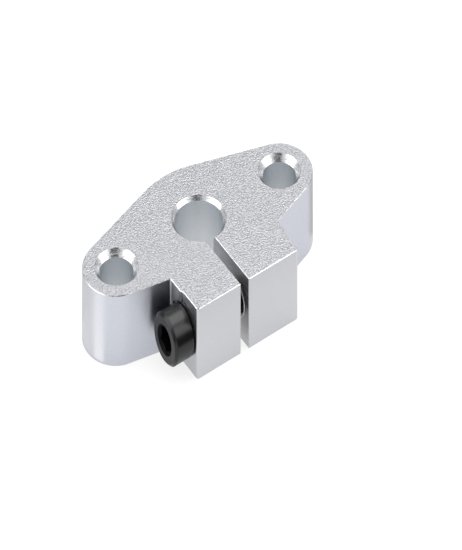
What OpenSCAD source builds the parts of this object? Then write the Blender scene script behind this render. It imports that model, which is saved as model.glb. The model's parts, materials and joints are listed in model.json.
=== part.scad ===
// Flange-mounted shaft support block: it holds the end of an 8 mm shaft in a slit bore that a cap screw closes.
// Origin: on the axis of the shaft bore, half way through the block. The bore runs along +Z.
// The mounting holes lie along X, and the two clamp ears point towards -Y.

/* [Block] */
// Thickness, from the mounting face to the top face
block_t = 10; // [9:0.5:14]
// Distance between the two mounting holes
hole_spacing = 32; // [30:0.5:33]
// Radius of the round lobe at each end of the flange
lobe_r = 5.5; // [5.2:0.1:5.6]
// Distance from the bore's axis to the top of the crowned back
crown_y = 10; // [9.8:0.05:10.1]
// Slope of the two back flanks, in degrees
back_angle = 17.2; // [17:0.1:18]
// Slope of the front flank beside the screw head, shallow so that the head clears it, in degrees
head_flank_angle = 11.5; // [10:0.1:12]
// Slope of the front flank on the other side, in degrees
plain_flank_angle = 18.5; // [14:0.1:20]

/* [Clamp ears] */
// Width across both ears where they join the flange
ear_w = 20.3; // [20:0.1:21]
// Distance from the bore's axis to the front of the ears
ear_front = 14; // [14:0.1:16]
// Depth of the flat milled into the outer side of each ear, and of the spot face round the screw head
seat_depth = 0.3; // [0.1:0.05:0.5]
// Distance from the ears' front to the end of the milled flat
seat_run = 3.6; // [3:0.1:4]
// Radius of the cutter that milled the flat
seat_cutter_r = 1.5; // [1:0.1:2]
// Width of the slit
slit_w = 1.6; // [1:0.1:2]
// Offset of the slit from the bore's axis
slit_x = -0.7; // [-1:0.1:0]
// Radius that rounds the ears' front corners
ear_corner_r = 0.5; // [0.2:0.1:0.8]
// Radius of the fillets where the ears meet the flange
root_fillet_r = 0.4; // [0.2:0.1:0.6]

/* [Holes] */
// Diameter of the shaft bore
bore_d = 8; // [6:0.5:10]
// Chamfer at both ends of the shaft bore
bore_chamfer = 0.5; // [0.2:0.1:1]
// Diameter of each mounting hole
mount_d = 5.5; // [4.5:0.1:6]
// Chamfer at both ends of each mounting hole
mount_chamfer = 0.8; // [0.3:0.1:1]

/* [Clamp screw] */
// Thread diameter
screw_d = 4; // [3.5:0.1:4.2]
// Length under the head
screw_len = 16; // [14:1:19]
// Diameter of the head
head_d = 6.7; // [6.5:0.1:6.8]
// Height of the head
head_h = 3.8; // [3:0.1:4]
// Gap between the head and the rim of its spot face
head_gap = 0.1; // [0.05:0.05:0.1]
// Width across the flats of the hexagon socket
socket_af = 3; // [2.5:0.1:3.2]
// Depth of the hexagon socket
socket_depth = 2; // [1.5:0.1:2.4]
// Distance from the ears' front to the screw's axis
screw_inset = 3.7; // [3.4:0.1:3.8]

/* [Hidden] */
$fn = 96;

half_t = block_t / 2;
hole_x = hole_spacing / 2;
bore_r = bore_d / 2;
mount_r = mount_d / 2;
slit_end = [slit_x - slit_w / 2, slit_x + slit_w / 2];
// The radius whose arc runs into both back flanks without a kink
crown_r = (hole_x * sin(back_angle) + lobe_r - crown_y * cos(back_angle)) / (1 - cos(back_angle));
crown_end = [crown_r * sin(back_angle), crown_y - crown_r * (1 - cos(back_angle))];
ear_x = ear_w / 2;
seat_x = ear_x - seat_depth;

screw_y = screw_inset - ear_front;
clearance_d = screw_d + 0.5;
running_gap = 0.05;
screw_r = screw_d / 2 - running_gap;
tap_chamfer = 0.3;
head_chamfer = 0.4;
socket_mouth = 0.25;
neck_r = 0.2;
tip_chamfer = 0.5;
point_angle = 30;
// Cuts run this far past the surfaces that they open
over = 1;
// Flats run this far into the arcs that they meet, so that the two overlap
bite = 0.002;

// The sliver between a corner and the arc that rounds it, where the sides run along the unit vectors a and b.
// It fills an inner corner, or rounds an outer one when it is cut away.
module corner_sliver(corner, a, b, r) {
    half = acos(a * b) / 2;
    centre = corner + (a + b) / norm(a + b) * r / sin(half);
    difference() {
        polygon([corner - 0.4 * (a + b), corner + a * r / tan(half), centre, corner + b * r / tan(half)]);
        translate(centre) circle(r + bite);
    }
}

// Where a flank at this slope touches the lobe round x = hole_x
function lobe_touch(angle) = [hole_x, 0] + (lobe_r - bite) * [sin(angle), cos(angle)];

// Where a front flank meets the side of its ear
function root_y(angle) = -((hole_x - ear_x) * sin(angle) + lobe_r - bite) / cos(angle);

// Corners of one half, from the back to the front, for x > 0
function half_corners(front_angle) = [
    crown_end,
    lobe_touch(back_angle),
    [lobe_touch(front_angle)[0], -lobe_touch(front_angle)[1]],
    [ear_x, root_y(front_angle)],
    [ear_x, -ear_front]
];

// Straight-sided middle of the outline: the flanks and the ears
module flanks_and_ears() {
    head_side = half_corners(head_flank_angle);
    plain_side = half_corners(plain_flank_angle);
    last = len(head_side) - 1;
    polygon(concat(plain_side, [for (i = [last : -1 : 0]) [-head_side[i][0], head_side[i][1]]]));
}

module root_fillet(angle) {
    corner_sliver([ear_x, root_y(angle)], [0, -1], [cos(angle), sin(angle)], root_fillet_r);
}

// The crowned middle of the back
module crown() {
    reach = crown_end[0] + over;
    intersection() {
        translate([0, crown_y - crown_r]) circle(crown_r);
        translate([-reach, 0]) square([2 * reach, crown_y + over]);
    }
}

// A flat shape as thick as the block
module slab() translate([0, 0, -half_t]) linear_extrude(block_t) children();

// A flat shape that cuts right through the block
module through() translate([0, 0, -half_t - over]) linear_extrude(block_t + 2 * over) children();

// What the cutter takes off the outer side of an ear, from its front back to a round run-out
module seat_cut() {
    through() translate([seat_x, -ear_front - over]) square([2 * seat_cutter_r, seat_run + over]);
    through() translate([seat_x + seat_cutter_r, seat_run - ear_front]) circle(seat_cutter_r + bite);
    through() corner_sliver([seat_x, -ear_front], [-1, 0], [0, 1], ear_corner_r);
}

module solid_block() {
    slab() flanks_and_ears();
    for (s = [-1, 1]) slab() translate([s * hole_x, 0]) circle(lobe_r);
    slab() crown();
    slab() root_fillet(plain_flank_angle);
    slab() mirror([1, 0]) root_fillet(head_flank_angle);
}

// A hole right through the block, chamfered at both faces
module chamfered_hole(x, r, chamfer) {
    translate([x, 0, 0])
        rotate_extrude()
            polygon([
                [0, -half_t - over],
                [r + chamfer + over, -half_t - over],
                [r, chamfer - half_t],
                [r, half_t - chamfer],
                [r + chamfer + over, half_t + over],
                [0, half_t + over]
            ]);
}

// Children drawn along +Z come out along +X, on the screw's axis, starting at x
module on_screw_axis(x) {
    translate([x, screw_y, 0]) rotate([0, 90, 0]) children();
}

// Round seat for the head, where the side of the ear stands proud of the milled flat
module spot_face() {
    on_screw_axis(-ear_x - root_fillet_r) cylinder(d = head_d + 2 * head_gap, h = seat_depth + root_fillet_r);
}

// Clearance hole in the ear under the head, and a tapped hole with chamfered mouths in the other ear
module screw_holes() {
    tap_len = seat_x - slit_end[1];
    on_screw_axis(-ear_x - over) cylinder(d = clearance_d, h = ear_x + over + slit_x);
    on_screw_axis(slit_end[1])
        rotate_extrude()
            polygon([
                [0, -slit_w / 2],
                [screw_d / 2 + tap_chamfer, -slit_w / 2],
                [screw_d / 2 + tap_chamfer, 0],
                [screw_d / 2, tap_chamfer],
                [screw_d / 2, tap_len - tap_chamfer],
                [screw_d / 2 + tap_chamfer + over, tap_len + over],
                [0, tap_len + over]
            ]);
}

module block() {
    color("#CDCFD3")
        difference() {
            solid_block();
            seat_cut();
            mirror([1, 0, 0]) seat_cut();
            through() translate([slit_end[0], -ear_front - over]) square([slit_w, ear_front + over]);
            chamfered_hole(0, bore_r, bore_chamfer);
            for (s = [-1, 1]) chamfered_hole(s * hole_x, mount_r, mount_chamfer);
            spot_face();
            screw_holes();
        }
}

// Half section of the screw: x is the radius, and y runs from the head's outer face to the tip
module screw_section() {
    head_r = head_d / 2;
    polygon([
        [0, -head_h],
        [head_r - head_chamfer, -head_h],
        [head_r, head_chamfer - head_h],
        [head_r, 0],
        [screw_r + neck_r, 0],
        [screw_r, neck_r],
        [screw_r, screw_len - tip_chamfer],
        [screw_r - tip_chamfer, screw_len],
        [0, screw_len]
    ]);
}

// Hexagon socket with a chamfered mouth and a drilled point at its bottom
module socket() {
    socket_r = socket_af / 2 / cos(30);
    mouth_r = socket_r + socket_mouth;
    translate([0, 0, -head_h - over]) linear_extrude(socket_depth + over) circle(socket_r, $fn = 6);
    translate([0, 0, -head_h - over]) cylinder(r1 = mouth_r + over, r2 = 0, h = mouth_r + over);
    translate([0, 0, socket_depth - head_h])
        cylinder(r1 = socket_af / 2, r2 = 0, h = socket_af / 2 * tan(point_angle));
}

module clamp_screw() {
    color("#2E2F31")
        on_screw_axis(-seat_x)
            difference() {
                rotate_extrude() screw_section();
                socket();
            }
}

block();
clamp_screw();
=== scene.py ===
# %% [markdown]
# # A shaft support block
#
# The part is a small clamp: an aluminium block with a slit bore that grips the end of an 8 mm shaft, and a
# black cap screw that closes the slit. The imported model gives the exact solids. This script builds the
# visible pieces on them: the same forms with broken edges, a real thread on the screw, and surfaces that
# look blasted, milled, sawn and oiled.

import json
import math

import bmesh
import bpy
from mathutils import Matrix, Vector


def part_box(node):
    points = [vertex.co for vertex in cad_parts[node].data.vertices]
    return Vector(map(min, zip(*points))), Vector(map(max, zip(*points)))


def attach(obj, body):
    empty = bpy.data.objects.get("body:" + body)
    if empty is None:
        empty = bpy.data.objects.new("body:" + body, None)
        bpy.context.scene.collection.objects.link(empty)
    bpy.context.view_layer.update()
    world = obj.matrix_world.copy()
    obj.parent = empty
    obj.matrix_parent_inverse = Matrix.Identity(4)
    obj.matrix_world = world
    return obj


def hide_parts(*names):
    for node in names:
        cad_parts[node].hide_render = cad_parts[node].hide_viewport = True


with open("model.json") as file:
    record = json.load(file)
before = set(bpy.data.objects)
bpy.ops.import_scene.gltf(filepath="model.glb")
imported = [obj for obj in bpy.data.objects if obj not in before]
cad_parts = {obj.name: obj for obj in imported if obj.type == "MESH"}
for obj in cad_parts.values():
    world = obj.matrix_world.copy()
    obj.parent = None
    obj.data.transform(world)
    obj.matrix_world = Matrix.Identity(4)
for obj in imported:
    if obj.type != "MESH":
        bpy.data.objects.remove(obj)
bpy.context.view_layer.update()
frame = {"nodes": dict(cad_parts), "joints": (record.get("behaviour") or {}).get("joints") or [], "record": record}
MM = 0.001

# %% [markdown]
# ## Measures that the pieces share
#
# Places come from the frame's own boxes, from the joint and from the record's mounts, so a piece needs no
# fitting. What those can't give, such as the pitch of the thread, is a usual size of the real part, and is
# named where it is first needed.

# %% Places of the block and the screw
block_low, block_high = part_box("block")
screw_low, screw_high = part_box("clamp_screw")
screw_joint = next(joint for joint in frame["joints"] if joint["child"] == "screw")
SCREW_AXIS = Vector(screw_joint["pos_m"])
HEAD_RADIUS = (screw_high.z - screw_low.z) / 2
HEAD_HEIGHT = SCREW_AXIS.x - screw_low.x
SHANK_LENGTH = screw_high.x - SCREW_AXIS.x
head_sizes = {"radius": HEAD_RADIUS, "height": HEAD_HEIGHT, "shank": SHANK_LENGTH}
print("screw in mm:", {name: round(size / MM, 2) for name, size in head_sizes.items()})

# %% [markdown]
# ## The camera
#
# The view looks down on the block from the front left with a long lens, so that its edges stay nearly
# parallel. It also draws everything about 1.4 times as tall as a plain camera would. The block keeps its
# real size, and the camera makes the stretch: its picture plane leans, as on a view camera with a tilted
# back. The camera's up axis is a unit vector that leans back towards the lens, so upright lengths cover
# more of the picture. The lean is held in the parent inverse matrix, so a camera that is taken off its
# parent is a plain one again.

# %% A camera with a leaning picture plane
CAMERA_AZIMUTH = math.radians(-34.8)
CAMERA_ELEVATION = math.radians(37.8)
CAMERA_DISTANCE = 1.0534
CAMERA_LENS = 428.1
CLIP_RANGE = (0.1, 10.0)
STRETCH = 1.407
AIM = Vector((1.85, -6.47, 0.0)) * MM


def view_axes(azimuth, elevation):
    """The right, up and back directions of a plain camera that looks from this direction."""
    right = Vector((math.cos(azimuth), math.sin(azimuth), 0))
    level = math.cos(elevation)
    back = Vector((math.sin(azimuth) * level, -math.cos(azimuth) * level, math.sin(elevation)))
    return right, back.cross(right), back


def add_camera():
    right, up, back = view_axes(CAMERA_AZIMUTH, CAMERA_ELEVATION)
    leaning_up = up / STRETCH + back * math.sqrt(1 - 1 / STRETCH**2)
    data = bpy.data.cameras.new("camera")
    data.lens = CAMERA_LENS
    data.clip_start, data.clip_end = CLIP_RANGE
    camera = bpy.data.objects.new("camera", data)
    bpy.context.scene.collection.objects.link(camera)
    stand = bpy.data.objects.new("camera_stand", None)
    bpy.context.scene.collection.objects.link(stand)
    place = Matrix.Identity(4)
    for column, axis in enumerate((right, leaning_up, back, AIM + back * CAMERA_DISTANCE)):
        place.col[column][:3] = axis
    camera.parent = stand
    camera.matrix_parent_inverse = place
    bpy.context.scene.camera = camera


add_camera()
print("lens in mm:", CAMERA_LENS, "distance in m:", CAMERA_DISTANCE, "stretch:", STRETCH)

# %% [markdown]
# ## Colours, nodes and objects
#
# Colours are written as sRGB hex, as a colour picker gives them, and one function turns them to the linear
# values that shaders work in. One more function adds any node with its settings and its links, for
# materials and for Geometry Nodes alike.

# %% Helpers for colours, nodes and objects
def linear(hex_colour):
    """A linear colour with alpha from an sRGB hex string."""
    channels = [int(hex_colour[i:i + 2], 16) / 255 for i in (1, 3, 5)]
    return [c / 12.92 if c <= 0.04045 else ((c + 0.055) / 1.055) ** 2.4 for c in channels] + [1.0]


def add_node(tree, kind, settings=None, **inputs):
    """Adds a node. settings are its properties. inputs are sockets by name or by number as in i0, each a
    value or an output socket to link from."""
    node = tree.nodes.new(kind)
    for name, value in (settings or {}).items():
        setattr(node, name, value)
    for name, value in inputs.items():
        number = name[1:]
        key = int(number) if name[0] == "i" and number.isdigit() else name.replace("_", " ")
        socket = node.inputs[key]
        if isinstance(value, bpy.types.NodeSocket):
            tree.links.new(value, socket)
        else:
            socket.default_value = value
    return node


def new_material(name):
    """An empty node material, with its tree and its output node."""
    material = bpy.data.materials.new(name)
    material.use_nodes = True
    tree = material.node_tree
    tree.nodes.clear()
    return material, tree, tree.nodes.new("ShaderNodeOutputMaterial")


def link_object(name, mesh):
    """A new object for a mesh, at the origin of the scene."""
    made = bpy.data.objects.new(name, mesh)
    bpy.context.scene.collection.objects.link(made)
    return made


print("mid grey in linear:", [round(c, 3) for c in linear("#808080")[:3]])

# %% [markdown]
# ## The finishes of the block
#
# The block is bare aluminium, and each tool left its own finish on it. A single grey metal would look like
# plastic, because the eye tells cut metal by how sharply each face mirrors the room. So each way of cutting
# gets a material of its own. All of them come from one function: a metal whose fine grain changes its
# colour, its roughness and its height together. The real grains are mostly too fine to show, so they are
# drawn coarser, and each comment says by how much.

# %% Seven finishes of bare aluminium
GRAIN_RANGE = (0.3, 0.7)


def object_position(tree, cell):
    """Object coordinates, scaled so that one texture cell is this many metres along X, Y and Z."""
    coordinates = add_node(tree, "ShaderNodeTexCoord")
    scale = [1 / side for side in cell]
    return add_node(tree, "ShaderNodeMapping", Vector=coordinates.outputs["Object"], Scale=scale).outputs[0]


def metal(name, colour, tint_share, roughness_range, grain_mm, depth_mm):
    """A metal with a grain of this size along X, Y and Z. Its colour varies by tint_share to each side."""
    material, tree, output = new_material(name)
    place = object_position(tree, [size * MM for size in grain_mm])
    noise = add_node(tree, "ShaderNodeTexNoise", Vector=place, Scale=1.0, Detail=1.0,
                     Roughness=0.5).outputs[0]
    lowest, highest = GRAIN_RANGE
    grain = add_node(tree, "ShaderNodeMapRange", Value=noise, From_Min=lowest, From_Max=highest).outputs[0]
    dark = [c * (1 - tint_share) for c in linear(colour)[:3]] + [1.0]
    light = [min(1.0, c * (1 + tint_share)) for c in linear(colour)[:3]] + [1.0]
    tint = add_node(tree, "ShaderNodeMix", {"data_type": "RGBA"}, i0=grain, i6=dark, i7=light).outputs[2]
    low, high = roughness_range
    rough = add_node(tree, "ShaderNodeMapRange", Value=grain, To_Min=low, To_Max=high).outputs[0]
    bump = add_node(tree, "ShaderNodeBump", Height=grain, Distance=depth_mm * MM).outputs[0]
    shader = add_node(tree, "ShaderNodeBsdfPrincipled", Base_Color=tint, Metallic=1.0, Roughness=rough,
                      Normal=bump)
    tree.links.new(shader.outputs[0], output.inputs[0])
    return material


# Blasted with fine grit: a pale matt face with a dense sparkle. Real pits are under 0.1 mm wide, and are
# drawn at 0.22 mm so that they show.
blasted = metal("blasted_aluminium", "#C4C5C9", 0.24, (0.36, 0.46), (0.22, 0.22, 0.22), 0.04)
# Finished smooth round the flange: a soft, slightly cool mirror of what stands near it. The real grain is
# too fine to see. It is drawn at 0.16 mm and very low, so that it breaks up the mirror a little.
satin = metal("satin_aluminium", "#DBDDE7", 0.03, (0.28, 0.31), (0.16, 0.16, 0.16), 0.012)
# Milled flat on the ears: an even, neutral sheen. The cutter's marks are drawn as a faint 0.22 mm grain.
milled = metal("milled_aluminium", "#DDDEE2", 0.02, (0.32, 0.38), (0.22, 0.22, 0.22), 0.003)
# The bar's own skin, which no cutter reached, with fine lines along the bar, and rougher. Its darker grey is
# painted shade of the corner between the flange, the ear and the screw head. Real lines are a few
# hundredths of a millimetre wide, and are drawn at 0.22 mm.
drawn_painted_shade = metal("drawn_aluminium_painted_shade", "#A6A7AA", 0.1, (0.36, 0.5), (0.22, 0.22, 8.0), 0.006)
# Slit with a saw: dull, with faint lines along the cut. Real lines are finer, and are drawn 0.2 mm apart.
sawn = metal("sawn_aluminium", "#D8D8DA", 0.1, (0.34, 0.44), (4.0, 4.0, 0.2), 0.006)
# Chamfers and broken edges, cut last: the brightest metal, with grooves round each hole. A real cutter
# leaves them about 0.05 mm apart, and they are drawn at 0.14 mm.
turned = metal("turned_aluminium", "#E2E3E6", 0.04, (0.18, 0.26), (1.0, 1.0, 0.14), 0.02)
# Drilled and reamed walls: smooth, with a blue tinge, because they mirror one another. The reamer's rings
# are drawn at 0.12 mm, coarser than they are.
bored = metal("bored_aluminium", "#E6EAED", 0.03, (0.34, 0.42), (0.5, 0.5, 0.12), 0.002)
print("finishes:", [material.name for material in (blasted, satin, milled, drawn_painted_shade, sawn, turned, bored)])

# %% [markdown]
# ## The block
#
# The solid's shape is right, so the piece starts as a copy of it: the loose triangles are merged, and the
# flat ones dissolved into whole faces. What the solid lacks is the broken edge that deburring leaves, and
# on a real block that edge catches the light as a thin bright line. A Bevel modifier with one flat segment
# makes it, on every corner sharper than 50 degrees. The chamfers of the holes are turned at 45 degrees, so
# they stay crisp.

# %% The block with broken edges
EDGE_BREAK = 0.08 * MM
SHARPEST_LEFT = math.radians(50)
FLAT_ANGLE = math.radians(0.3)
SMOOTH_ANGLE = math.radians(15)
WELD = 0.0005 * MM


def merged_copy(node, name):
    """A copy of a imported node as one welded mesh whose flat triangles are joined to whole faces."""
    mesh = bpy.data.meshes.new(name)
    bm = bmesh.new()
    bm.from_mesh(frame["nodes"][node].data)
    bmesh.ops.remove_doubles(bm, verts=bm.verts, dist=WELD)
    bmesh.ops.dissolve_limit(bm, angle_limit=FLAT_ANGLE, verts=bm.verts, edges=bm.edges)
    bm.to_mesh(mesh)
    bm.free()
    return link_object(name, mesh)


def bake(piece):
    """Applies the piece's modifiers to its mesh, and removes them."""
    graph = bpy.context.evaluated_depsgraph_get()
    finished = bpy.data.meshes.new_from_object(piece.evaluated_get(graph))
    piece.modifiers.clear()
    piece.data = finished


block = merged_copy("block", "support_block")
edge = block.modifiers.new("edge_break", "BEVEL")
edge.width = EDGE_BREAK
edge.segments = 1
edge.limit_method = "ANGLE"
edge.angle_limit = SHARPEST_LEFT
edge.use_clamp_overlap = False
bake(block)
block.data.shade_smooth()
block.data.set_sharp_from_angle(angle=SMOOTH_ANGLE)
print("block:", len(block.data.polygons), "faces")

# %% [markdown]
# Where the slit crosses the screw, the tap has pushed up a low lip round the mouth of its hole. It shows as
# a thin bright crescent in the dark slit. It is a plain ring with a round section, so two loops of points
# make it. Its lower half is sunk in the wall of the slit, and it joins the block's mesh as a closed shell
# of its own.

# %% The lip round the tapped hole
LIP_RADIUS = 2.36 * MM
LIP_HALF_WIDTH = 0.14 * MM
LIP_HEIGHT = 0.11 * MM
LIP_STEPS = 60
LIP_PARTS = 10
SLIT_WALL = 0.1 * MM


def lip_point(around, lap):
    """A point of the lip, at these angles round the hole and round the lip's own section."""
    radius = LIP_RADIUS + LIP_HALF_WIDTH * math.cos(lap)
    x = SLIT_WALL - LIP_HEIGHT * math.sin(lap)
    return x, SCREW_AXIS.y + radius * math.cos(around), SCREW_AXIS.z + radius * math.sin(around)


def add_lip(piece):
    """Adds the lip to the piece's mesh as one more closed shell."""
    bm = bmesh.new()
    bm.from_mesh(piece.data)
    laps = [math.tau * part / LIP_PARTS for part in range(LIP_PARTS)]
    turns = [math.tau * step / LIP_STEPS for step in range(LIP_STEPS)]
    rings = [[bm.verts.new(lip_point(around, lap)) for lap in laps] for around in turns]
    faces = []
    for ring, after in zip(rings, rings[1:] + rings[:1]):
        for part in range(LIP_PARTS):
            beside = (part + 1) % LIP_PARTS
            faces.append(bm.faces.new((ring[part], ring[beside], after[beside], after[part])))
    bmesh.ops.recalc_face_normals(bm, faces=faces)
    bm.to_mesh(piece.data)
    bm.free()


add_lip(block)
print("block with its lip:", len(block.data.polygons), "faces")

# %% [markdown]
# The block is one mesh, so each face gets its finish by where it lies. Faces that look straight up or down
# were blasted, and slopes are chamfers and broken edges. The walls of the three holes are found from the
# record's mounts. On the ears, the cutter's flats end a little before the flange, and the strip that is
# left keeps the skin of the bar, with painted shade in its darker grey.

# %% Finishes by face
FINISHES = {
    "face": blasted,
    "side": satin,
    "ear": milled,
    "skin_painted_shade": drawn_painted_shade,
    "slit": sawn,
    "edge": turned,
    "bore": bored,
}
UPRIGHT = 0.97
LEVEL = 0.1
HOLE_MARGIN = 0.25 * MM
SLIT_REACH = 2.0 * MM
EAR_ROOT = -5.0 * MM
EAR_HALF = 10.6 * MM
SHADED_SKIN_FRONT = block_low.y + 4.4 * MM
SHADED_SKIN_REACH = (10.1 * MM, 10.17 * MM)


def hole(name):
    """The place of a round mount across the block, and its radius, in metres."""
    mount = next(mount for mount in frame["record"]["mounts"] if mount["name"] == name)
    return mount["pos_m"][0], mount["pos_m"][1], mount["dims"]["r_mm"] * MM


HOLES = [hole(name) for name in ("shaft_bore", "mounting_hole_left", "mounting_hole_right")]


def finish_of(face):
    """The name of the finish that a face gets."""
    slope = abs(face.normal.z)
    if slope > UPRIGHT:
        return "face"
    if slope > LEVEL:
        return "edge"
    x, y = face.center.x, face.center.y
    if any(math.hypot(x - hole_x, y - hole_y) < radius + HOLE_MARGIN for hole_x, hole_y, radius in HOLES):
        return "bore"
    if y < 0 and abs(x) < SLIT_REACH:
        return "slit"
    on_ear = y < EAR_ROOT and abs(x) < EAR_HALF
    # The strip by the flange gets the darker grey that paints its shade.
    if on_ear and y > SHADED_SKIN_FRONT and SHADED_SKIN_REACH[0] < abs(x) < SHADED_SKIN_REACH[1]:
        return "skin_painted_shade"
    return "ear" if on_ear else "side"


order = list(FINISHES)
for name in order:
    block.data.materials.append(FINISHES[name])
for face in block.data.polygons:
    face.material_index = order.index(finish_of(face))
print({name: sum(face.material_index == i for face in block.data.polygons) for i, name in enumerate(order)})

# %% [markdown]
# ## The thread
#
# A thread is one groove profile that follows a helix, so Geometry Nodes can wind it, and one change of
# pitch redraws it. A curve swept with a profile would leave a seam at each turn. Instead a grid one pitch
# wide is laid along the helix: its long side runs round and round the axis, each turn's edge meets the edge
# of the turn before, and the two are welded. The winding is plain arithmetic on each point's place in the
# grid, so it is written as a recipe first. A row gives a step's name, its operation and what it works on: a
# number, an input of the tree, or a step before it.

# %% The recipe of the winding
TURN_STEPS = 72
FLANK_SHARE = 0.375
WINDING = (
    ("columns", "MULTIPLY_ADD", "Turns", TURN_STEPS, 1),
    # Turns made so far, and the distance along the axis, kept between the two ends
    ("share", "ADD", "grid x", 0.5),
    ("turn", "MULTIPLY", "share", "Turns"),
    ("across", "SUBTRACT", "grid y", 0.5),
    ("pitches", "ADD", "turn", "across"),
    ("endless", "MULTIPLY", "pitches", "Pitch"),
    ("before end", "MINIMUM", "endless", "Length"),
    ("along", "MAXIMUM", "before end", 0.0),
    # Height of the profile, from 0 at the root to 1 at the crest
    ("axial", "DIVIDE", "along", "Pitch"),
    ("offset", "SUBTRACT", "axial", "turn"),
    ("phase", "FRACT", "offset"),
    ("off middle", "SUBTRACT", "phase", 0.5),
    ("from crest", "ABSOLUTE", "off middle"),
    ("flank", "MULTIPLY_ADD", "from crest", -1 / FLANK_SHARE, 1.0),
    ("height", "MAXIMUM", "flank", 0.0),
    ("depth", "SUBTRACT", "Crest Radius", "Root Radius"),
    ("full radius", "MULTIPLY_ADD", "height", "depth", "Root Radius"),
    # The run-in and the run-out at 45 degrees
    ("start cone", "ADD", "along", "Start Radius"),
    ("left", "SUBTRACT", "Length", "along"),
    ("end cone", "ADD", "left", "End Radius"),
    ("in start cone", "MINIMUM", "full radius", "start cone"),
    ("radius", "MINIMUM", "in start cone", "end cone"),
    # The place round the axis
    ("angle", "MULTIPLY", "turn", math.tau),
    ("cosine", "COSINE", "angle"),
    ("sine", "SINE", "angle"),
    ("y", "MULTIPLY", "radius", "cosine"),
    ("z", "MULTIPLY", "radius", "sine"),
)
print("the winding takes", len(WINDING), "steps, and", TURN_STEPS, "columns to a turn")

# %% A node tree that winds a thread
PROFILE_POINTS = 9
THREAD_SIZES = ("Length", "Pitch", "Crest Radius", "Root Radius", "Start Radius", "End Radius", "Turns")


def thread_tree(material):
    tree = bpy.data.node_groups.new("wound_thread", "GeometryNodeTree")
    tree.is_modifier = True
    tree.interface.new_socket("Geometry", in_out="OUTPUT", socket_type="NodeSocketGeometry")
    for size in THREAD_SIZES:
        tree.interface.new_socket(size, in_out="INPUT", socket_type="NodeSocketFloat")
    given = add_node(tree, "NodeGroupInput").outputs
    place = add_node(tree, "GeometryNodeInputPosition").outputs[0]
    split = add_node(tree, "ShaderNodeSeparateXYZ", i0=place).outputs
    fields = {size: given[size] for size in THREAD_SIZES}
    fields.update({"grid x": split[0], "grid y": split[1]})
    for name, operation, *terms in WINDING:
        inputs = {f"i{number}": fields.get(term, term) for number, term in enumerate(terms)}
        fields[name] = add_node(tree, "ShaderNodeMath", {"operation": operation}, **inputs).outputs[0]
    grid = add_node(tree, "GeometryNodeMeshGrid", Size_X=1.0, Size_Y=1.0, Vertices_X=fields["columns"],
                    Vertices_Y=PROFILE_POINTS)
    wound = add_node(tree, "ShaderNodeCombineXYZ", i0=fields["along"], i1=fields["y"], i2=fields["z"])
    moved = add_node(tree, "GeometryNodeSetPosition", Geometry=grid.outputs[0], Position=wound.outputs[0])
    welded = add_node(tree, "GeometryNodeMergeByDistance", Geometry=moved.outputs[0], Distance=WELD)
    real = add_node(tree, "GeometryNodeRealizeInstances", Geometry=welded.outputs[0])
    final = add_node(tree, "GeometryNodeSetMaterial", Geometry=real.outputs[0], Material=material)
    tree.links.new(final.outputs[0], add_node(tree, "NodeGroupOutput").inputs[0])
    return tree


def wind_thread(name, tree, sizes):
    """A thread's surface along +X from the origin, as a plain mesh. sizes has a value for each input."""
    piece = link_object(name, bpy.data.meshes.new(name))
    modifier = piece.modifiers.new("thread", "NODES")
    modifier.node_group = tree
    for item in tree.interface.items_tree:
        if item.in_out == "INPUT":
            modifier[item.identifier] = float(sizes[item.name])
    bake(piece)
    return piece


print("a thread is wound from", len(THREAD_SIZES), "sizes")

# %% [markdown]
# ## The clamp screw
#
# The screw is an M4 cap screw in alloy steel with a black oxide skin and a film of oil. Magnetite doesn't
# mirror like a metal, so the shader is a nearly black one with the soft sheen of oil on it. The socket, the
# corner under the head and the thread lie in shade, and that shade is painted in: they get a darker, duller
# copy of the same finish.

# %% Black oxide steel
CLOUD_SIZE = 1.2 * MM
# The crystals of the oxide are far too fine to show, and are drawn at 0.08 mm.
CRYSTAL_SIZE = 0.08 * MM
CRYSTAL_HEIGHT = 0.002 * MM


def black_oxide(name, dark, light, roughness_range, gloss):
    """Magnetite on steel: nearly black with a faint cloudiness. gloss is how much the oil shines."""
    material, tree, output = new_material(name)
    cloud_place = object_position(tree, [CLOUD_SIZE] * 3)
    cloud = add_node(tree, "ShaderNodeTexNoise", Vector=cloud_place, Scale=1.0, Detail=4.0).outputs[0]
    fine_place = object_position(tree, [CRYSTAL_SIZE] * 3)
    fine = add_node(tree, "ShaderNodeTexNoise", Vector=fine_place, Scale=1.0, Detail=1.0).outputs[0]
    tint = add_node(tree, "ShaderNodeMix", {"data_type": "RGBA"}, i0=cloud, i6=linear(dark),
                    i7=linear(light)).outputs[2]
    low, high = roughness_range
    rough = add_node(tree, "ShaderNodeMapRange", Value=cloud, To_Min=low, To_Max=high).outputs[0]
    bump = add_node(tree, "ShaderNodeBump", Height=fine, Distance=CRYSTAL_HEIGHT).outputs[0]
    shader = add_node(tree, "ShaderNodeBsdfPrincipled", Base_Color=tint, Roughness=rough,
                      Specular_IOR_Level=gloss, Normal=bump)
    tree.links.new(shader.outputs[0], output.inputs[0])
    return material


# Lightly oiled: black with soft, fairly sharp highlights.
black_steel = black_oxide("black_oxide_steel", "#060608", "#0F1013", (0.22, 0.3), 0.54)
# Painted shade for the socket, the corner under the head and the thread: an even, darker and duller black.
painted_shade_steel = black_oxide("black_oxide_painted_shade", "#050506", "#08080A", (0.5, 0.6), 0.12)
print("screw finishes:", black_steel.name, painted_shade_steel.name)

# %% [markdown]
# The head is a turned form, so it is built as rings round the axis, from the bottom of the socket out over
# the head and in to the neck. Only the socket isn't round: each of its rings takes its radius from the
# hexagon at that angle, and where the countersunk mouth meets the hexagon the ring dips with it, as on a
# real socket.

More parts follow.
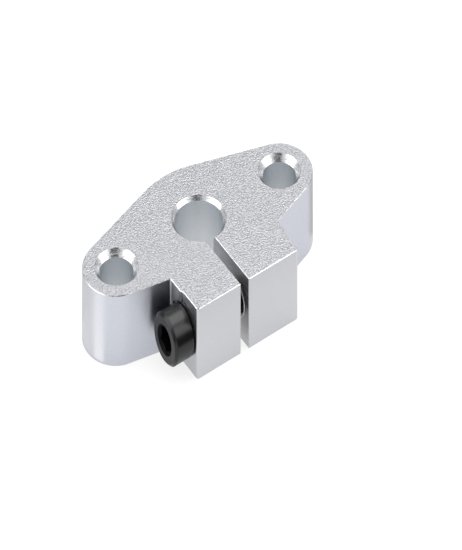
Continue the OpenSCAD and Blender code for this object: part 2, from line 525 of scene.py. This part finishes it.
# %% The rings of the head
SOCKET_HALF = 1.5 * MM
SOCKET_MOUTH = 0.48 * MM
SOCKET_DEPTH = 2.0 * MM
DRILL_SLOPE = math.radians(30)
DRILL_TIP = 0.02 * MM
HEXAGON_TURN = math.radians(30)
HEXAGON_SECTOR = math.radians(60)
HEAD_CHAMFER = 0.4 * MM
UNDERSIDE_CHAMFER = (0.4 * MM, 0.5 * MM)
NECK_FILLET = 0.15 * MM
NECK_GROOVE = 0.1 * MM
THREAD_START = 0.35 * MM
PITCH = 0.7 * MM
THREAD_DEPTH = 0.6134 * PITCH
SHANK_RADIUS = 1.95 * MM
ROOT_RADIUS = SHANK_RADIUS - THREAD_DEPTH
TIP_RADIUS = 1.35 * MM


def hexagon_radius(angle):
    """Distance from the axis to the side of the socket at this angle."""
    return SOCKET_HALF / math.cos((angle - HEXAGON_TURN) % HEXAGON_SECTOR - HEXAGON_SECTOR / 2)


def head_rings():
    """The head's rings from the bottom of the socket to the start of the thread. Each is a function that
    gives the distance along the axis and the radius at an angle. 0 is the face under the head."""
    mouth_radius = SOCKET_HALF + SOCKET_MOUTH
    face = -HEAD_HEIGHT
    under_height, under_width = UNDERSIDE_CHAMFER
    return [
        lambda a: (face + SOCKET_DEPTH + SOCKET_HALF * math.tan(DRILL_SLOPE), DRILL_TIP),
        lambda a: (face + SOCKET_DEPTH, SOCKET_HALF),
        lambda a: (face + SOCKET_DEPTH, hexagon_radius(a)),
        lambda a: (face + mouth_radius - hexagon_radius(a), hexagon_radius(a)),
        lambda a: (face, mouth_radius),
        lambda a: (face, HEAD_RADIUS - HEAD_CHAMFER),
        lambda a: (face + HEAD_CHAMFER, HEAD_RADIUS),
        lambda a: (-under_height, HEAD_RADIUS),
        lambda a: (0, HEAD_RADIUS - under_width),
        lambda a: (0, SHANK_RADIUS + NECK_FILLET),
        lambda a: (NECK_GROOVE, SHANK_RADIUS - NECK_GROOVE),
        lambda a: (THREAD_START, ROOT_RADIUS),
    ]


print("socket, head and neck:", len(head_rings()), "rings")

# %% [markdown]
# Quads join each ring to the next. The first four bands are the socket and those past the head's side are
# its underside, and both take the darker steel that paints their shade. So does the thread, and its faces are
# given their slot here, because Set Material leaves an empty slot before its own. The thread starts at the
# last ring with the same number of steps, so welding the two gives one closed skin.

# %% The head, the thread and the whole screw
SOCKET_BANDS = 4
UNDERSIDE_BAND = 7
# Slot of the darker steel, which paints the shade of the socket, the corner under the head and the thread.
PAINTED_SHADE_SLOT = 1
SCREW_SMOOTH_ANGLE = math.radians(35)


def build_head():
    bm = bmesh.new()
    angles = [math.tau * step / TURN_STEPS for step in range(TURN_STEPS)]
    rings = []
    for ring in head_rings():
        places = [(ring(a), a) for a in angles]
        rings.append([bm.verts.new((x, r * math.cos(a), r * math.sin(a))) for (x, r), a in places])
    for band, (inner, outer) in enumerate(zip(rings, rings[1:])):
        for step in range(TURN_STEPS):
            after = (step + 1) % TURN_STEPS
            face = bm.faces.new((inner[step], inner[after], outer[after], outer[step]))
            # The socket and the underside bands take the darker steel: painted shade.
            face.material_index = PAINTED_SHADE_SLOT if band < SOCKET_BANDS or band >= UNDERSIDE_BAND else 0
    bm.faces.new(rings[0]).material_index = PAINTED_SHADE_SLOT
    mesh = bpy.data.meshes.new("head")
    bm.to_mesh(mesh)
    bm.free()
    return link_object("head", mesh)


def weld_pieces(name, pieces, offset):
    """Joins the pieces to one closed mesh, moved by offset."""
    bm = bmesh.new()
    for piece in pieces:
        bm.from_mesh(piece.data)
    bmesh.ops.remove_doubles(bm, verts=bm.verts, dist=WELD)
    bmesh.ops.holes_fill(bm, edges=[e for e in bm.edges if e.is_boundary])
    bmesh.ops.recalc_face_normals(bm, faces=bm.faces)
    bmesh.ops.translate(bm, verts=bm.verts, vec=offset)
    mesh = bpy.data.meshes.new(name)
    open_edges = sum(not e.is_manifold for e in bm.edges)
    bm.to_mesh(mesh)
    bm.free()
    for piece in pieces:
        bpy.data.objects.remove(piece)
    print(name, "faces:", len(mesh.polygons), "open edges:", open_edges)
    return link_object(name, mesh)


thread_length = SHANK_LENGTH - THREAD_START
thread = wind_thread("screw_thread", thread_tree(painted_shade_steel), {
    "Length": thread_length,
    "Pitch": PITCH,
    "Crest Radius": SHANK_RADIUS,
    "Root Radius": ROOT_RADIUS,
    "Start Radius": ROOT_RADIUS,
    "End Radius": TIP_RADIUS,
    "Turns": math.ceil(thread_length / PITCH) + 1,
})
thread.data.transform(Matrix.Translation((THREAD_START, 0, 0)))
# The thread takes the darker steel too: painted shade of the hole and the slit.
for face in thread.data.polygons:
    face.material_index = PAINTED_SHADE_SLOT
thread_faces = len(thread.data.polygons)
screw = weld_pieces("cap_screw", [build_head(), thread], SCREW_AXIS)
screw.data.materials.append(black_steel)
screw.data.materials.append(painted_shade_steel)
screw.data.shade_smooth()
screw.data.set_sharp_from_angle(angle=SCREW_SMOOTH_ANGLE)
painted_shade_faces = sum(face.material_index == PAINTED_SHADE_SLOT for face in screw.data.polygons)
print("faces in the duller steel:", painted_shade_faces, "of them in the thread:", thread_faces)

# %% [markdown]
# ## Floor and world
#
# The block stands on white card in a light tent. A white floor that is lit to white would throw too much
# light up at the metal, so the card itself is grey and matt, and a faint glow that only the camera and
# mirrors see lifts it to white. The object's shadow still falls on the matt part. The tent is darkest at
# the horizon, which gives metal its contrast, and the camera sees it as plain white.

# %% White card and a light tent
TABLE_HALF = 0.6
SEEN_GLOW = 0.78
MIRRORED_GLOW = 0.54
HORIZON_LEVEL = 0.1
SKY_LEVEL = 0.75
HORIZON_TOP = 0.4
CARD_GREY = "#959595"
WHITE = "#FFFFFF"


def add_stage(mesh, material):
    """A staged object for a mesh, which isn't part of the block."""
    stage = link_object(mesh.name, mesh)
    mesh.materials.append(material)
    return stage


def sheet_mesh(name, centre, right, up):
    """A flat rectangle. right and up run from its centre to its sides."""
    mesh = bpy.data.meshes.new(name)
    corners = [centre + right * x + up * y for x, y in ((-1, -1), (1, -1), (1, 1), (-1, 1))]
    mesh.from_pydata(corners, [], [(0, 1, 2, 3)])
    return mesh


def floor_sheet(name, x_range, y_range, lift=0.0):
    """A flat rectangle that lies this far above the floor."""
    middle = Vector((sum(x_range) / 2, sum(y_range) / 2, block_low.z + lift))
    half_x, half_y = (x_range[1] - x_range[0]) / 2, (y_range[1] - y_range[0]) / 2
    return sheet_mesh(name, middle, Vector((half_x, 0, 0)), Vector((0, half_y, 0)))


def white_card():
    material, tree, output = new_material("white_card")
    paths = add_node(tree, "ShaderNodeLightPath").outputs
    seen = add_node(tree, "ShaderNodeMath", {"operation": "MULTIPLY"}, i0=paths["Is Camera Ray"],
                    i1=SEEN_GLOW).outputs[0]
    strength = add_node(tree, "ShaderNodeMath", {"operation": "MULTIPLY_ADD"}, i0=paths["Is Glossy Ray"],
                        i1=MIRRORED_GLOW, i2=seen).outputs[0]
    glow = add_node(tree, "ShaderNodeEmission", Color=linear(WHITE), Strength=strength)
    matt = add_node(tree, "ShaderNodeBsdfDiffuse", Color=linear(CARD_GREY))
    both = add_node(tree, "ShaderNodeAddShader", i0=glow.outputs[0], i1=matt.outputs[0])
    tree.links.new(both.outputs[0], output.inputs[0])
    return material


def add_world():
    """A white sky that fades to the horizon. Camera rays see it as plain white."""
    world = bpy.data.worlds.new("light_tent")
    world.use_nodes = True
    tree = world.node_tree
    direction = add_node(tree, "ShaderNodeTexCoord").outputs["Generated"]
    height = add_node(tree, "ShaderNodeSeparateXYZ", i0=direction).outputs[2]
    level = add_node(tree, "ShaderNodeMapRange", Value=height, From_Max=HORIZON_TOP, To_Min=HORIZON_LEVEL,
                     To_Max=SKY_LEVEL).outputs[0]
    seen = add_node(tree, "ShaderNodeLightPath").outputs["Is Camera Ray"]
    strength = add_node(tree, "ShaderNodeMix", i0=seen, i2=level, i3=1.0).outputs[0]
    background = tree.nodes["Background"]
    background.inputs["Color"].default_value = linear(WHITE)
    tree.links.new(strength, background.inputs["Strength"])
    bpy.context.scene.world = world


add_stage(floor_sheet("floor", (-TABLE_HALF, TABLE_HALF), (-TABLE_HALF, TABLE_HALF)), white_card())
add_world()
print("floor side in m:", 2 * TABLE_HALF)

# %% [markdown]
# ## Softboxes
#
# Three square lamps light the block: one at each side at the camera's height, which the chamfers and the
# broken edges mirror, and one overhead. Their levels are plain, a little above white, so that colours come
# out as they are written.

# %% Three softboxes
LAMP_DISTANCE = 0.6


def add_softbox(name, azimuth, elevation, spread, level):
    """A square lamp that faces the object from this direction. spread is the angle from its middle to a side
    as the object sees it, and level is how bright its face is, where 1 is white."""
    lamp = bpy.data.lights.new(name, "AREA")
    lamp.shape = "SQUARE"
    lamp.size = 2 * LAMP_DISTANCE * math.tan(math.radians(spread))
    lamp.energy = level * math.pi * lamp.size**2
    made = bpy.data.objects.new(name, lamp)
    back = view_axes(math.radians(azimuth), math.radians(elevation))[2]
    made.location = back * LAMP_DISTANCE
    made.rotation_euler = back.to_track_quat("Z", "Y").to_euler()
    made.visible_camera = False
    bpy.context.scene.collection.objects.link(made)
    print(name, "side in m:", round(lamp.size, 2))


add_softbox("left_softbox", azimuth=-114, elevation=38, spread=22, level=1.4)
add_softbox("right_softbox", azimuth=48, elevation=38, spread=18, level=1.5)
add_softbox("overhead_softbox", azimuth=110, elevation=72, spread=20, level=2.4)

# %% [markdown]
# ## Cards
#
# Metal shows what it mirrors, so cards give it shape. Dark ones flag off part of the tent for the chamfers
# and the screw head, and pale ones on the floor grade the sides. A card here glows at its own level and
# shows only in mirrors. Two of them are fans round the foot of the left lobe: each rib runs the way that
# the wall mirrors the camera, so a fan shows in the round wall as an upright band.

# %% Cards that only mirrors see
CARD_LIFT = 0.1 * MM
WARM_WHITE = "#FFFDF3"
PALE_WARM = "#FFFEF9"
FAN_REACH = 15 * MM
FAN_GAP = 0.3 * MM
FAN_STEPS = 12


def add_card(mesh, colour, level):
    """A card that shows only in what mirrors it. level is how bright it looks there, where 1 is white."""
    material, tree, output = new_material(mesh.name)
    glow = add_node(tree, "ShaderNodeEmission", Color=linear(colour), Strength=level)
    tree.links.new(glow.outputs[0], output.inputs[0])
    card = add_stage(mesh, material)
    card.visible_camera = card.visible_shadow = card.visible_diffuse = False


def facing_sheet(name, azimuth, elevation, distance, half_width, half_height):
    """A rectangle that faces the object from this direction. Its sizes are in metres."""
    right, up, back = view_axes(math.radians(azimuth), math.radians(elevation))
    return sheet_mesh(name, back * distance, right * half_width, up * half_height)


def outward(azimuth):
    """The level direction at this azimuth, where 0 is -Y and the angle grows towards +X."""
    return Vector((math.sin(azimuth), -math.cos(azimuth), 0))


def fan_sheet(name, first, last):
    """A fan round the foot of the left lobe that its wall mirrors between these two azimuths, in degrees."""
    lobe_x, lobe_y, _ = hole("mounting_hole_left")
    foot_radius = lobe_x - block_low.x + FAN_GAP
    foot, rim = [], []
    for step in range(FAN_STEPS + 1):
        azimuth = math.radians(first + (last - first) * step / FAN_STEPS)
        start = Vector((lobe_x, lobe_y, block_low.z + CARD_LIFT)) + outward(azimuth) * foot_radius
        foot.append(start)
        rim.append(start + outward(2 * azimuth - CAMERA_AZIMUTH) * FAN_REACH)
    across = FAN_STEPS + 1
    mesh = bpy.data.meshes.new(name)
    mesh.from_pydata(foot + rim, [], [(i, i + across, i + across + 1, i + 1) for i in range(FAN_STEPS)])
    return mesh


def floor_card(name, x_range, y_range, colour, level):
    """A rectangular card just above the floor. Its ranges are in millimetres."""
    sides = ([side * MM for side in given] for given in (x_range, y_range))
    add_card(floor_sheet(name, *sides, CARD_LIFT), colour, level)


camera_flag = facing_sheet("camera_flag", azimuth=-24, elevation=54, distance=0.5, half_width=0.15,
                           half_height=0.14)
add_card(camera_flag, WHITE, 0.09)
front_flag = facing_sheet("front_flag", azimuth=27, elevation=5, distance=0.07, half_width=0.025,
                          half_height=0.02)
add_card(front_flag, WHITE, 0.05)
floor_card("front_card", (-16, 44), (-94, -34), WHITE, 0.02)
add_card(fan_sheet("band_fan", -75, -56), PALE_WARM, 1.17)
add_card(fan_sheet("rim_fan", -125, -75), PALE_WARM, 0.9)
floor_card("back_card", (-40, 80), (6, 90), WHITE, 0.7)
right_side = block_high.x / MM
floor_card("right_card", (right_side, right_side + 58), (-5, 5), WARM_WHITE, 0.62)
bpy.context.scene.view_settings.view_transform = "Standard"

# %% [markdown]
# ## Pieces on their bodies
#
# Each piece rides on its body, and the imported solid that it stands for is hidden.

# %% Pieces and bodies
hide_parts("block")
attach(block, "block")
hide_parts("clamp_screw")
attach(screw, "screw")
